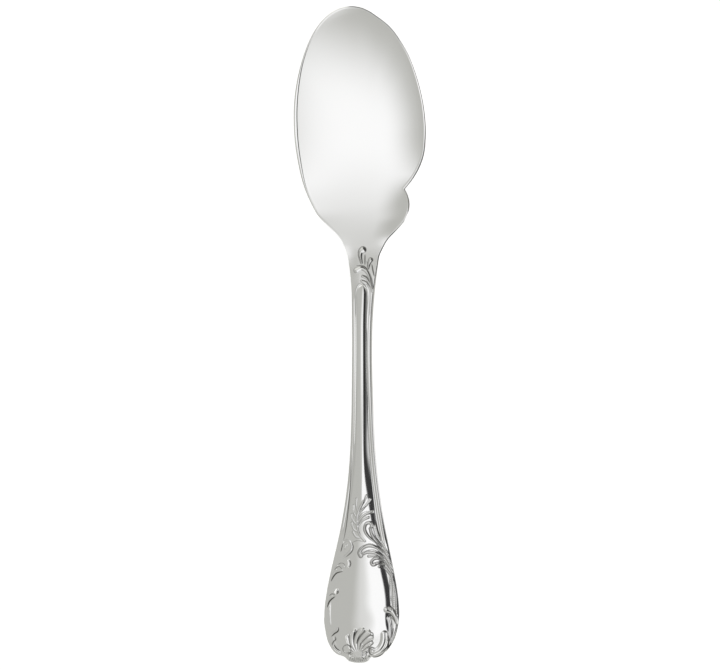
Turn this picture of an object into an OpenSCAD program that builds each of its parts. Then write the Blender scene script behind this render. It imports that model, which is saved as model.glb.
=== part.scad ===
// Sauce spoon with a notched, lopsided bowl and a handle struck with shell and leaf relief.
// It lies on its back: +Y runs from the handle's end to the bowl's tip, +Z is up, and the bowl's underside is at z = 0.
// "Station" means the distance along the spoon from the bowl's tip, in plan.

/* [Overall] */
// Length from the bowl's tip to the handle's end
overall_length = 188; // [176:1:210]

/* [Bowl] */
// Width of the bowl at its widest line
bowl_width = 37.8; // [32:0.2:44]
// Station of the bowl's widest line
bowl_widest = 35.6; // [31:0.2:39]
// Length of the left half of the bowl behind the widest line
left_lower_length = 31.5; // [29:0.1:33]
// Length of the right half of the bowl behind the widest line, where the lobe is fuller
right_lower_length = 34.1; // [32:0.1:36]
// How far the tip leans to the left
tip_offset = 2.4; // [0:0.1:4]
// Depth of the hollow under the rim
bowl_depth = 4; // [3.4:0.1:5.4]
// Wall thickness at the bottom of the bowl
bowl_wall = 1.5; // [1.2:0.1:2.2]
// Thickness of the rim
rim_thickness = 1.2; // [0.9:0.1:1.6]
// How flat the bottom is across: 2 is a parabola, more is flatter with steeper walls
bowl_flatness = 2; // [1.8:0.1:3]

/* [Notch] */
// Station of the notch's inner corner
notch_station = 52.3; // [50:0.1:54]
// Depth of the notch, from the whole outline to its inner corner
notch_depth = 3.6; // [2:0.1:5]
// Run of the notch's long flank, towards the tip
notch_long_flank = 12; // [9:0.2:14]
// Run of the notch's short flank, towards the handle
notch_short_flank = 7.4; // [5:0.2:8.5]

/* [Handle] */
// How far the handle's axis lies to the right of the bowl's middle
handle_offset = 0.65; // [0:0.05:1.2]
// Station of the neck line, where bowl and handle meet
neck_station = 72.5; // [71.5:0.1:75]
// Width at the neck line
neck_width = 8.3; // [7.4:0.1:9.6]
// Station of the narrowest place of the stem
waist_station = 100.3; // [96:0.5:108]
// Width of the stem at its narrowest place
waist_width = 5.7; // [5:0.1:6.6]
// Width of the handle's broad end
end_width = 21.6; // [19:0.2:25]
// Distance from the widest place of the broad end to the handle's end
end_round_length = 13.6; // [12.6:0.2:15]
// How late the stem widens: more keeps it slim for longer
end_flare = 1.75; // [1.4:0.05:2.1]

/* [Thickness] */
// Thickness at the neck, on the axis
neck_thickness = 3; // [2.4:0.1:3.6]
// Thickness of the stem at its narrowest place, on the axis
waist_thickness = 3.4; // [2.8:0.1:4]
// Thickness of the broad end, on the axis
end_thickness = 3; // [2.6:0.1:3.4]
// Thickness of the handle along its edges
edge_thickness = 1.5; // [1.2:0.1:1.8]
// How much the neck's face is crowned above its edges
neck_crown = 0.2; // [0:0.05:0.5]
// How much the stem's face is crowned above its edges
stem_crown = 1; // [0.6:0.05:1.2]
// How much the broad end's face is crowned above its edges
end_crown = 1.8; // [1.2:0.05:2.1]

/* [Side profile] */
// Height of the neck's edges above the table
neck_height = 7.2; // [6.6:0.1:8.6]
// Upward slope of the handle at the neck, in degrees
neck_rise = 14; // [10:0.5:16]
// Downward slope of the handle at its end, in degrees
end_drop = 7.5; // [5:0.5:10]

/* [Thread border] */
// Width of the raised thread that frames the stem's panel
thread_width = 0.55; // [0.4:0.05:0.7]
// Height of the thread
thread_height = 0.3; // [0.2:0.05:0.4]
// Distance from the handle's edge to the middle of the thread
thread_inset = 0.95; // [0.8:0.05:1.1]
// Distance from the neck line to the top of the thread's arch
thread_arch = 7; // [6.4:0.1:8]

/* [Relief] */
// Height of the struck leaves
leaf_height = 0.5; // [0.3:0.05:0.7]
// Width of a leaf at its head
leaf_width = 1.3; // [1:0.05:1.6]
// Height of the two volutes beside the shell
volute_height = 0.8; // [0.5:0.05:1]
// Width of the volutes' band
volute_width = 2; // [1.6:0.1:2.4]
// Number of flutes in the shell
shell_flutes = 9; // [7:1:11]
// Length of the shell's longest flute
shell_length = 7.6; // [6.5:0.1:8.5]
// Height of the shell's flutes
shell_height = 0.7; // [0.4:0.05:0.9]
// Height of the flatter shell on the back
back_shell_height = 0.4; // [0.2:0.05:0.4]
// How far the shell leans out past the handle's rounded end
shell_lip = 1.5; // [1:0.1:2]

/* [Hidden] */

silver = "#c9cac6";
silver_relief = "#dcdcd8";

// Where the fillet leaves the bowl's oval, as a share of its lower length
shoulder = 0.85;
// How fast the stem narrows behind the neck
neck_taper = 2.3;
// Roundness of the broad end's outline: 2 is an ellipse, more is squarer
end_roundness = 2.6;
// How the tip's lean grows from the widest line to the tip
lean_growth = 1.35;
// How the notch's flanks curve
long_flank_curve = 2;
short_flank_curve = 1.8;
// Share of the edge's thickness by which its middle stands out, which rounds it
edge_bulge = 0.3;
// Least half width that a section keeps at the two ends of the spoon
end_cut = 0.8;

bowl_half = bowl_width / 2;
rim_height = bowl_depth + bowl_wall;
neck_half = neck_width / 2;
waist_half = waist_width / 2;
end_half = end_width / 2;
end_widest = overall_length - end_round_length;
round_end = overall_length - shell_lip;
heel_station = notch_station;
shell_half = end_half * 0.36;
shell_middle = handle_offset - end_half * 0.11;
shell_root = 2.6;
shell_margin = 0.4;
// How far the shell leans to the right, in degrees
shell_lean = 8;
// The lower edge of the handle's end lies on the table
end_height = edge_thickness;

// Small curve tools

function mix(a, b, t) = a + (b - a) * t;
function clamp(t) = min(1, max(0, t));
function ease(t) = clamp(t) * clamp(t) * (3 - 2 * clamp(t));
// Cubic from height a with slope sa at station s0 to height b with slope sb at station s1
function cubic(s0, a, sa, s1, b, sb, s) =
    let (run = s1 - s0, t = (s - s0) / run)
    a * (1 + 2 * t) * (1 - t) * (1 - t) + run * sa * t * (1 - t) * (1 - t)
    + b * t * t * (3 - 2 * t) + run * sb * t * t * (t - 1);

// Plan outline: the left and right edge at each station

function oval(t) = sqrt(max(0, 1 - t * t));
function lower_length(side) = side < 0 ? left_lower_length : right_lower_length;
function shoulder_station(side) = bowl_widest + shoulder * lower_length(side);
function shoulder_slope(side) = -bowl_half * shoulder / (lower_length(side) * oval(shoulder));
function neck_slope() = -(neck_half - waist_half) * neck_taper / (waist_station - neck_station);

function bowl_edge(side, s) =
    let (t = (bowl_widest - s) / bowl_widest)
    s < bowl_widest ? side * bowl_half * oval(t) - tip_offset * pow(max(0, t), lean_growth)
    : s < shoulder_station(side) ? side * bowl_half * oval((s - bowl_widest) / lower_length(side))
    : cubic(shoulder_station(side), side * bowl_half * oval(shoulder), side * shoulder_slope(side),
            neck_station, handle_offset + side * neck_half, side * neck_slope(), s);

function round_end_half(s) =
    let (t = clamp((s - end_widest) / (round_end - end_widest)))
    end_half * pow(max(0, 1 - pow(t, end_roundness)), 1 / end_roundness);

function handle_half(s) =
    s < waist_station ? mix(waist_half, neck_half, pow(clamp((waist_station - s) / (waist_station - neck_station)), neck_taper))
    : s < end_widest ? mix(waist_half, end_half, ease(pow((s - waist_station) / (end_widest - waist_station), end_flare)))
    : round_end_half(s);

// The shell's rounded lip stands out past the rounded end
function lip_half(s) =
    let (t = (overall_length - s) / (2 * shell_half))
    t > 1 || t < 0 ? 0 : shell_half * oval(1 - 2 * t);

function handle_edge(side, s) =
    let (plain = handle_offset + side * handle_half(s), lip = shell_middle + side * lip_half(s))
    s < overall_length - shell_half ? plain
    : s >= round_end ? lip
    : side < 0 ? min(plain, lip) : max(plain, lip);

function whole_edge(side, s) = s < neck_station ? bowl_edge(side, s) : handle_edge(side, s);

function notch(s) =
    s < notch_station ? notch_depth * pow(clamp(1 - (notch_station - s) / notch_long_flank), long_flank_curve)
    : notch_depth * pow(clamp(1 - (s - notch_station) / notch_short_flank), short_flank_curve);

function cut_edge(side, s) = whole_edge(side, s) - (side > 0 && s < neck_station ? notch(s) : 0);

// Heights: the edge line, the crown or hollow of the face, and the thickness

function edge_height(s) =
    s < heel_station ? rim_height
    : s < neck_station ? cubic(heel_station, rim_height, 0, neck_station, neck_height, tan(neck_rise), s)
    : cubic(neck_station, neck_height, tan(neck_rise), overall_length, end_height, -tan(end_drop), s);

function crown(s) =
    s < bowl_widest ? -bowl_depth * (1 - pow((bowl_widest - s) / bowl_widest, 2))
    : s < neck_station ? mix(-bowl_depth, neck_crown, ease((s - bowl_widest) / (neck_station - bowl_widest)))
    : s < waist_station ? mix(neck_crown, stem_crown, ease((s - neck_station) / (waist_station - neck_station)))
    : s < end_widest ? mix(stem_crown, end_crown, ease((s - waist_station) / (end_widest - waist_station)))
    : end_crown * (1 - 0.5 * ease((s - end_widest) / end_round_length));

function flatness(s) = mix(bowl_flatness, 2, ease((s - heel_station) / (neck_station - heel_station)));

function middle_thickness(s) =
    s < bowl_widest ? mix(rim_thickness, bowl_wall, oval((bowl_widest - s) / bowl_widest))
    : s < neck_station ? mix(bowl_wall, neck_thickness, ease((s - bowl_widest) / (neck_station - bowl_widest)))
    : s < waist_station ? mix(neck_thickness, waist_thickness, ease((s - neck_station) / (waist_station - neck_station)))
    : s < end_widest ? mix(waist_thickness, end_thickness, ease((s - waist_station) / (end_widest - waist_station)))
    : mix(end_thickness, edge_thickness, ease((s - end_widest) / end_round_length));

function side_thickness(s) = mix(rim_thickness, edge_thickness, ease((s - heel_station) / (neck_station - heel_station)));

// How far a point lies from the middle of its section, from 0 on the middle line to 1 at the whole outline
function spread(x, s) =
    let (left = whole_edge(-1, s), right = whole_edge(1, s))
    clamp(abs(x - (left + right) / 2) / max(0.001, (right - left) / 2));

function front_height(x, s) = edge_height(s) + crown(s) * (1 - pow(spread(x, s), flatness(s)));
function thickness(x, s) = mix(middle_thickness(s), side_thickness(s), pow(spread(x, s), flatness(s)));
function back_height(x, s) = front_height(x, s) - thickness(x, s);

// Lofts of whole sections along the spoon

section_points = 15;

function placed(x, s, z) = [x, overall_length / 2 - s, z];

function section(s) =
    let (
        middle = (cut_edge(-1, s) + cut_edge(1, s)) / 2,
        left = min(cut_edge(-1, s), middle - end_cut), right = max(cut_edge(1, s), middle + end_cut),
        round_in = min(edge_bulge * side_thickness(s), (right - left) / 4),
        xs = [for (i = [0:section_points - 1])
            let (t = i / (section_points - 1))
            mix(left + round_in, right - round_in, (t + 0.5 - 0.5 * cos(180 * t)) / 2)]
    )
    concat(
        [for (x = xs) placed(x, s, front_height(x, s))],
        [placed(right, s, front_height(right, s) - thickness(right, s) / 2)],
        [for (i = [section_points - 1:-1:0]) placed(xs[i], s, back_height(xs[i], s))],
        [placed(left, s, front_height(left, s) - thickness(left, s) / 2)]
    );

function turned(faces) = [for (f = faces) [f[0], f[2], f[1]]];

// Closed solid through rings of equally many points; cap lists the triangles that fill the first ring
module skin(rings, cap, inside_out = false) {
    n = len(rings[0]);
    last = (len(rings) - 1) * n;
    sides = [for (r = [0:len(rings) - 2], i = [0:n - 1])
        let (a = r * n + i, b = r * n + (i + 1) % n)
        each [[a, b, b + n], [a, b + n, a + n]]];
    end_cap = [for (f = turned(cap)) [for (i = f) i + last]];
    faces = concat(sides, cap, end_cap);
    polyhedron(points = [for (ring = rings) each ring], faces = inside_out ? turned(faces) : faces);
}

// An end of a section is filled by a strip between its front and back points, and a triangle at each edge
section_cap = let (m = section_points) concat(
    [for (i = [0:m - 2]) each [[i, 2 * m - i - 1, i + 1], [i, 2 * m - i, 2 * m - i - 1]]],
    [[m - 1, m + 1, m], [0, 2 * m + 1, 2 * m]]
);

module loft(stations) {
    skin([for (s = stations) section(s)], section_cap);
}

function spaced(a, b, count) = [for (i = [0:count - 1]) mix(a, b, i / count)];

bowl_stations = concat(
    [for (i = [0:15]) bowl_widest * (1 - cos(90 * i / 16))],
    spaced(bowl_widest, notch_station - notch_long_flank, 3),
    spaced(notch_station - notch_long_flank, notch_station, 9),
    spaced(notch_station, notch_station + notch_short_flank, 8),
    spaced(notch_station + notch_short_flank, neck_station, 7),
    [neck_station]
);

handle_stations = concat(
    spaced(neck_station, waist_station, 9),
    spaced(waist_station, end_widest, 22),
    [for (i = [0:9]) mix(end_widest, round_end, sin(90 * i / 10))],
    [for (i = [0:5]) mix(round_end, overall_length, sin(90 * i / 5))]
);

module bowl() {
    color(silver) loft(bowl_stations);
}

module handle() {
    color(silver) loft(handle_stations);
}

// Relief: a leaf, strand or thread is a tapered ridge along a smooth curve, seated on the handle's face.
// Its points are [across, along]: across is a share of the handle's half width there, along is millimetres
// from the handle's end.

function field_half(s) = s > end_widest ? end_half : handle_half(s);
function on_field(p) = let (s = overall_length - p[1]) [handle_offset + p[0] * field_half(s), s];

// Smooth curve through points, as an even number of steps on each span
function curve_point(p, i, t) =
    let (
        last = len(p) - 1, a = p[max(0, i - 1)], b = p[i], c = p[i + 1], e = p[min(last, i + 2)],
        t2 = t * t, t3 = t2 * t
    )
    (2 * b + (c - a) * t + (2 * a - 5 * b + 4 * c - e) * t2 + (3 * b - a - 3 * c + e) * t3) / 2;
function curve(p, steps) = concat(
    [for (i = [0:len(p) - 2], k = [0:steps - 1]) curve_point(p, i, k / steps)],
    [p[len(p) - 1]]
);

function face_height(face, x, s) = face > 0 ? front_height(x, s) : back_height(x, s);

// One ring of a ridge: five points across it, the outer two on the handle's face
function ridge_ring(path, i, width, height, face) =
    let (
        before = path[max(0, i - 1)], after = path[min(len(path) - 1, i + 1)],
        run = after - before, across = [run[1], -run[0]] / norm(run)
    )
    [for (k = [-2:2])
        let (p = path[i] + across * width * k / 4, rise = height * (1 - k * k / 4))
        placed(p[0], p[1], face_height(face, p[0], p[1]) + face * rise)];

ridge_cap = [for (i = [1:3]) [0, i + 1, i]];

// A ridge along a path of [x, station] points; its width and height swell from the root to the head
module ridge(path, root, head, height, face = 1) {
    last = len(path) - 1;
    function ends(i) = i == 0 || i == last ? 0.45 : 1;
    rings = [for (i = [0:last])
        ridge_ring(path, i, mix(root, head, i / last) * ends(i), height * mix(0.6, 1, i / last) * ends(i), face)];
    color(silver_relief) skin(rings, ridge_cap, face < 0);
}

// A leaf through points on the handle's face, from its root to its head
module leaf(points, size = 1, steps = 3, face = 1) {
    path = curve([for (p = points) on_field(p)], steps);
    ridge(path, leaf_width * size * 0.45, leaf_width * size, leaf_height * size, face);
}

// Thread that frames the panel of the stem: up one side, round the arch below the neck and down the other
module thread(face, left_end, right_end) {
    arch_top = neck_station + thread_arch;
    arch_half = handle_half(arch_top) - thread_inset;
    arch_middle = arch_top + arch_half;
    function leg(side, s) = [handle_offset + side * (handle_half(s) - thread_inset), s];
    arch = [for (i = [0:8]) [handle_offset - arch_half * cos(180 * i / 8), arch_middle - arch_half * sin(180 * i / 8)]];
    left_leg = [for (i = [10:-1:1]) leg(-1, mix(arch_middle, overall_length - left_end, i / 10))];
    right_leg = [for (i = [1:10]) leg(1, mix(arch_middle, overall_length - right_end, i / 10))];
    ridge(concat(left_leg, arch, right_leg), thread_width, thread_width, thread_height, face);
}

module thread_border() {
    thread(1, 37, 43);
}

module back_thread_border() {
    thread(-1, 37, 37);
}

// Leaves at the neck; their along values count from the neck line towards the handle's end
neck_leaf_curves = [
    [[0.85, 7], [0.67, 4.6], [0.26, 3], [-0.28, 2.8], [-0.53, 4.2]],
    [[0.62, 6.6], [0.33, 5], [-0.11, 4.6]],
    [[0.43, 2.3], [0.44, 1], [0.63, -0.4]],
    [[-0.03, 1.6], [-0.12, -0.6], [-0.05, -2.2], [0.14, -3.2]],
    [[0.86, 4.2], [0.79, 2.4], [0.84, 1]]
];
neck_leaf_sizes = [0.72, 0.5, 0.6, 0.85, 0.5];

module neck_leaves() {
    for (i = [0:len(neck_leaf_curves) - 1])
        leaf([for (p = neck_leaf_curves[i]) [p[0], overall_length - neck_station - p[1]]], neck_leaf_sizes[i]);
}

// Acanthus spray on the axis, above the plain cartouche
acanthus_curves = [
    [[0.14, 35.4], [-0.13, 38], [-0.25, 42], [-0.11, 45], [0.18, 47.4]],
    [[-0.06, 38.6], [0.03, 40.4], [0.17, 41.8]],
    [[-0.12, 41.6], [0.09, 43.2], [0.43, 44.2]],
    [[-0.07, 43.8], [0.11, 45.2], [0.43, 46.6]],
    [[-0.31, 44.6], [-0.42, 46], [-0.36, 47.6]],
    [[-0.37, 41.8], [-0.52, 43.2], [-0.59, 45]],
    [[-0.3, 38.8], [-0.45, 40], [-0.55, 41.8]],
    [[-0.06, 36.2], [-0.26, 36.8], [-0.43, 38.2]]
];
acanthus_sizes = [0.6, 0.7, 0.85, 0.7, 0.6, 0.6, 0.6, 0.6];

module acanthus_spray() {
    for (i = [0:len(acanthus_curves) - 1])
        leaf(acanthus_curves[i], acanthus_sizes[i]);
}

// Leaves that spring from the right edge and curl in over the cartouche
right_leaf_curves = [
    [[0.88, 30.9], [0.76, 33.6], [0.54, 35.8], [0.33, 38.6], [0.41, 41.2]],
    [[0.9, 32.5], [0.85, 35.5], [0.74, 38], [0.65, 41]],
    [[0.89, 28.6], [0.75, 31.2], [0.46, 33.2], [0.12, 33.4], [-0.06, 31.6]],
    [[0.87, 26.9], [0.72, 29.3], [0.43, 30.9], [0.19, 30.7]],
    [[0.88, 25.3], [0.73, 27.6], [0.52, 28.7], [0.36, 28]],
    [[0.88, 23.9], [0.76, 25.6], [0.62, 26.2]]
];
right_leaf_sizes = [0.9, 0.8, 1, 0.7, 0.9, 0.7];

module right_leaf_scrolls() {
    for (i = [0:len(right_leaf_curves) - 1])
        leaf(right_leaf_curves[i], right_leaf_sizes[i]);
}

// Leaves that spring from the left edge
left_leaf_curves = [
    [[-0.88, 30.6], [-0.76, 34], [-0.52, 35.4], [-0.36, 33.8], [-0.46, 31.2]],
    [[-0.9, 26.4], [-0.74, 28.4], [-0.52, 28.2], [-0.42, 29]],
    [[-0.9, 23.4], [-0.76, 26], [-0.56, 26.4]],
    [[-0.9, 16], [-0.82, 19], [-0.68, 20.6]],
    [[-0.87, 9.4], [-0.77, 10.6], [-0.65, 12]]
];
left_leaf_sizes = [0.85, 0.8, 0.7, 0.8, 0.7];

module left_leaf_scrolls() {
    for (i = [0:len(left_leaf_curves) - 1])
        leaf(left_leaf_curves[i], left_leaf_sizes[i]);
}

// Strands along the right edge, with the small curl that ties them half way
right_strand_curves = [
    [[0.92, 21.6], [0.92, 19.4], [0.92, 17.2]],
    [[0.74, 24.2], [0.78, 20.6], [0.8, 17]],
    [[0.93, 11.6], [0.85, 14.2], [0.71, 15.4]],
    [[0.8, 6.4], [0.86, 9.6], [0.8, 12.2]]
];
right_strand_sizes = [0.7, 0.6, 0.9, 0.7];

module right_strands() {
    for (i = [0:len(right_strand_curves) - 1])
        leaf(right_strand_curves[i], right_strand_sizes[i]);
}

// Curved bands beside the shell
module volute(points) {
    path = curve([for (p = points) on_field(p)], 4);
    ridge(path, volute_width, volute_width, volute_height);
}

module right_volute() {
    volute([[0.61, 8.8], [0.6, 6.8], [0.54, 5.2], [0.42, 4]]);
}

module left_volute() {
    volute([[-0.78, 7.4], [-0.74, 6], [-0.66, 4.9], [-0.56, 4.3]]);
}

// Scallop shell: flutes all round a root near the handle's end, long towards the bowl and short at the lip.
// It is one closed fan between the handle's face and the fluted top, which run together at its rim.
module shell_fan(face, height) {
    flutes = shell_flutes + 5;
    steps = 4 * flutes;
    root = [shell_middle, overall_length - shell_root];
    // Rings from the root outwards: share of the reach, share of the height
    bands = [[0.3, 0.5], [0.62, 0.85], [0.87, 1]];
    turns = [for (i = [0:steps - 1]) 360 * i / steps - 180];

    function reach(turn) = mix(shell_length, shell_root - shell_margin, ease(abs(turn - shell_lean) / 110)) * (0.93 + 0.07 * flute(turn));
    function flute(turn) = abs(cos(turn * flutes / 2));
    function spot(turn, share) = root + share * reach(turn) * [sin(turn), -cos(turn)];
    function seated(p, rise) = placed(p[0], p[1], face_height(face, p[0], p[1]) + face * rise);

    top = [for (band = bands, turn = turns)
        seated(spot(turn, band[0]), height * band[1] * mix(0.4, 1, flute(turn)))];
    rim = [for (turn = turns) seated(spot(turn, 1), 0)];
    under = [for (band = bands, turn = turns) seated(spot(turn, band[0]), 0)];
    points = concat([seated(root, height * 0.5)], top, rim, under, [seated(root, 0)]);

    rows = len(bands);
    function at(row, i) = 1 + row * steps + (i + steps) % steps;
    function strip(inner, outer) = [for (i = [0:steps - 1])
        each [[at(inner, i), at(inner, i + 1), at(outer, i + 1)], [at(inner, i), at(outer, i + 1), at(outer, i)]]];
    upper = concat([for (i = [0:steps - 1]) [0, at(0, i), at(0, i + 1)]], turned([for (r = [0:rows - 1]) each strip(r, r + 1)]));
    lower = concat(
        [for (i = [0:steps - 1]) [len(points) - 1, at(rows + 1, i + 1), at(rows + 1, i)]],
        [for (r = [0:rows - 2]) each strip(rows + 1 + r, rows + 2 + r)],
        strip(2 * rows, rows)
    );
    faces = concat(upper, lower);
    polyhedron(points = points, faces = face > 0 ? faces : turned(faces));
}

module shell() {
    color(silver_relief) shell_fan(1, shell_height);
}

module back_shell() {
    color(silver_relief) shell_fan(-1, back_shell_height);
}

bowl();
handle();
thread_border();
neck_leaves();
acanthus_spray();
right_leaf_scrolls();
left_leaf_scrolls();
right_strands();
right_volute();
left_volute();
shell();
back_thread_border();
back_shell();
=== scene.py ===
# Sauce spoon: a lopsided, notched bowl on a slim handle that is struck with leaf and shell relief.
# The frame is the part's own: it lies on its back, +Y runs to the bowl's tip, +Z is up, +X is the notched side.

import math

import bpy
import numpy as np
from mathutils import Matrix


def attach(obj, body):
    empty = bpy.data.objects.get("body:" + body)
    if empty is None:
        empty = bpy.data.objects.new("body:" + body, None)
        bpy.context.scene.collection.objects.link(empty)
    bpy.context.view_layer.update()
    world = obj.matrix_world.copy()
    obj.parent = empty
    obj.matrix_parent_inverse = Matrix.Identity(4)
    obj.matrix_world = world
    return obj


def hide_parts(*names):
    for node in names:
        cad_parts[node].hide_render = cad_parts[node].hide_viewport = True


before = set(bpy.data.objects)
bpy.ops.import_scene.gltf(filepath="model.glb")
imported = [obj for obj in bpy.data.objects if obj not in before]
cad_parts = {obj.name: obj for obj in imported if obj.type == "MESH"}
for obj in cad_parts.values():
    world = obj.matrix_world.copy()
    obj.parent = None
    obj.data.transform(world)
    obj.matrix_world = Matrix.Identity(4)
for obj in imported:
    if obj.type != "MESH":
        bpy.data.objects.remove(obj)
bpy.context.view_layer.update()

# Handle: the slim arched stem and its broad end, one struck bar of nickel silver that runs on into the bowl.
# Stamping dies press both faces at once, the edge is then filed round, and the whole spoon is plated and polished.
# Sizes are in millimetres. A station is the distance from the bowl's tip, and "from_end" counts from the other end.
spoon_length = 188.0
axis_x = 0.65
neck_station, neck_half, neck_taper = 72.5, 4.35, 2.6
neck_drift, drift_length = 0.45, 20.0
waist_station, waist_half = 100.3, 2.95
end_reach, end_half, end_flare = 13.6, 10.8, 1.82
end_widest = spoon_length - end_reach
neck_height, neck_slope_up = 7.2, math.tan(math.radians(14))
end_height, end_slope_down = 1.5, math.tan(math.radians(7.5))
handle_edge_thickness = 1.5


def ease(value, low, high):
    """Smooth step from 0 at low to 1 at high."""
    t = np.clip((value - low) / (high - low), 0, 1)
    return t * t * (3 - 2 * t)


def mix(a, b, t):
    return a + (b - a) * t


def bend(s0, a, slope_a, s1, b, slope_b, s):
    """Cubic from height a with slope_a at station s0 to height b with slope_b at station s1."""
    run = s1 - s0
    t = (s - s0) / run
    return (
        a * (1 + 2 * t) * (1 - t) ** 2 + run * slope_a * t * (1 - t) ** 2
        + b * t * t * (3 - 2 * t) + run * slope_b * t * t * (t - 1)
    )


def handle_half(s):
    taper = np.maximum(0, (waist_station - s) / (waist_station - neck_station))
    flare = np.clip((s - waist_station) / (end_widest - waist_station), 0, 1)
    return np.where(
        s < waist_station,
        mix(waist_half, neck_half, taper ** neck_taper),
        mix(waist_half, end_half, ease(flare ** end_flare, 0, 1)),
    )


def handle_axis(s):
    """The handle's middle line, which bears a little to the notched side as it nears the bowl."""
    return axis_x + neck_drift * (1 - ease(s, neck_station, neck_station + drift_length))


def handle_edge_height(s):
    return bend(neck_station, neck_height, neck_slope_up, spoon_length, end_height, -end_slope_down, s)


def smooth_line(points, steps=8):
    """Smooth curve through given points, with an even number of steps on each span."""
    p = np.array(points, float)
    before = np.vstack([p[:1], p[:-2]])
    after = np.vstack([p[2:], p[-1:]])
    t = np.linspace(0, 1, steps, endpoint=False)[None, :, None]
    a, b, c, d = before[:, None], p[:-1, None], p[1:, None], after[:, None]
    spans = (2 * b + (c - a) * t + (2 * a - 5 * b + 4 * c - d) * t ** 2 + (3 * b - a - 3 * c + d) * t ** 3) / 2
    return np.vstack([spans.reshape(-1, p.shape[1]), p[-1:]])


# How far the filing of the left and right edge strays to the right: station, left, right
edge_stray = smooth_line([
    (60, 0, 0), (neck_station, 0, 0), (80, 0.2, 0), (88, 0.2, 0), (100, 0.14, -0.06), (110, 0.06, 0.14),
    (118, 0.04, 0.38), (130, 0.12, 0.5), (140, 0.26, 0.48), (150, 0.36, 0.28), (160, 0.26, 0.1), (168, 0.14, 0.04),
    (end_widest, 0, 0), (spoon_length, 0, 0),
])

# Outline of the broad end, from its left side round the shell's lip to its right side: across the axis, from the end
end_outline = smooth_line([
    (-end_half, end_reach), (-10.85, 12), (-10.4, 8.8), (-9.75, 6.1), (-8.55, 3.8), (-7.2, 2.5), (-5.6, 1.9),
    (-4.8, 1.5), (-3.9, 0.6), (-2.7, 0.15), (-1.1, 0), (0.9, 0.15), (2, 0.8), (2.7, 1.7), (3.6, 1.5), (5.3, 1.9),
    (6.95, 3.2), (8.25, 4.8), (9.55, 7.4), (10.4, 10.6), (end_half, end_reach),
], 12)

# Shoulders: the struck face stands a little proud along the middle, and the file takes it down towards both edges.
# Depth at the edge, width, and curve, where 1 is a flat bevel and more is rounder
face_lift = 0.3
left_fall, left_fall_width, left_fall_curve = 0.55, 1.3, 1.3
left_neck_width, left_stem_share = 2.6, 0.6
right_fall, right_fall_width, right_fall_curve = 0.52, 0.7, 1.2
neck_bevel, neck_bevel_width, neck_bevel_curve = 0.24, 0.38, 1.0
end_fall, end_fall_width, end_fall_curve = 0.5, 1.8, 1.8
right_end_width = 1.15
lip_fall = 0.15


def shoulder_round(s, from_edge, on_left):
    """How far the struck face lies above the blank, from stations along the handle and distance from the edge."""
    past_neck, at_end = ease(s, 72, 81), ease(s, 140, 160)
    at_lip = ease(s, spoon_length - 3, spoon_length - 0.5)
    left = left_fall * mix(1, left_stem_share, ease(s, 112, 128)) * ease(s, 68, 76)
    right = mix(neck_bevel, right_fall, past_neck) * ease(s, 57, 63)
    left_width = mix(left_neck_width, left_fall_width, ease(s, 78, 84))
    right_width = mix(neck_bevel_width, right_fall_width, past_neck)
    right_curve = mix(neck_bevel_curve, mix(right_fall_curve, end_fall_curve, at_end), past_neck)
    end_width = np.where(on_left, end_fall_width, mix(right_end_width, end_fall_width, at_lip))
    fall = mix(np.where(on_left, left, right), mix(end_fall, lip_fall, at_lip), at_end)
    width = mix(np.where(on_left, left_width, right_width), end_width, at_end)
    curve = np.where(on_left, left_fall_curve, right_curve)
    return face_lift * ease(s, 69, 81) - fall * np.clip(1 - from_edge / width, 0, 1) ** curve


# Stem panel: a ridge-backed rib between two flat ledges, which widens and flattens into the plain polished cartouche.
# Each row: from_end, half width to the left and right, height of the rib, and roundness to the left and right, where
# 1.4 is a keel.
panel_rows = smooth_line([
    (120, 1.85, 1.4, 0.80, 1.4, 1.3),
    (104, 1.85, 1.4, 0.80, 1.4, 1.3),
    (88, 1.85, 1.5, 0.86, 1.45, 1.3),
    (72, 2.0, 1.8, 1.02, 1.65, 1.28),
    (60, 2.3, 2.1, 1.20, 1.9, 1.3),
    (49, 3.3, 3.2, 1.42, 2.1, 1.36),
    (41, 4.5, 4.2, 1.48, 2.3, 2.0),
    (35, 5.7, 5.5, 1.60, 2.4, 2.3),
    (28, 7.2, 6.7, 1.82, 2.4, 2.5),
    (22, 8.3, 7.9, 1.97, 2.5, 2.6),
    (17, 8.9, 8.4, 2.05, 2.5, 2.6),
    (12, 9.1, 8.3, 1.75, 2.6, 3.8),
    (6, 8.7, 9.2, 1.60, 2.6, 2.2),
    (0, 8.0, 9.2, 1.50, 2.6, 2.0),
])[::-1]
panel_arch_top, panel_arch_length = 79.6, 3.0
panel_crest_radius = 0.08
panel_end_round = 15.0


def panel(x, s):
    """Height of the panel above the ledges."""
    from_end = spoon_length - s
    left, right, rise, left_round, right_round = (
        np.interp(from_end, panel_rows[:, 0], panel_rows[:, i]) for i in range(1, 6)
    )
    off = x - handle_axis(s)
    arch = np.clip((s - panel_arch_top) / panel_arch_length, 0, 1)
    width = np.where(off < 0, left, right) * np.sqrt(np.clip(1 - (1 - arch) ** 2, 1e-6, 1))
    across = np.hypot(off, panel_crest_radius) / width
    past_widest = np.maximum(0, end_reach - from_end) / panel_end_round
    share = np.hypot(across, past_widest)
    crown = np.clip(1 - share ** np.where(off < 0, left_round, right_round), 0, 1)
    return np.where(s < panel_arch_top, 0, rise * crown)


# Thread border: a wide and a narrow raised line along both edges of the stem, engraved into the same dies.
# Distance from the edge, half width and height of each line, and where each side's lines start and stop
threads = [(0.5, 0.32, 0.07), (1.15, 0.24, 0.06)]
thread_roundness = 1.3
left_thread_gain, right_thread_inset = 1.7, 0.4
thread_start, thread_fade = 81.0, 4.0
thread_left_stop, thread_right_stop = spoon_length - 36.4, spoon_length - 33.5
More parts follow.
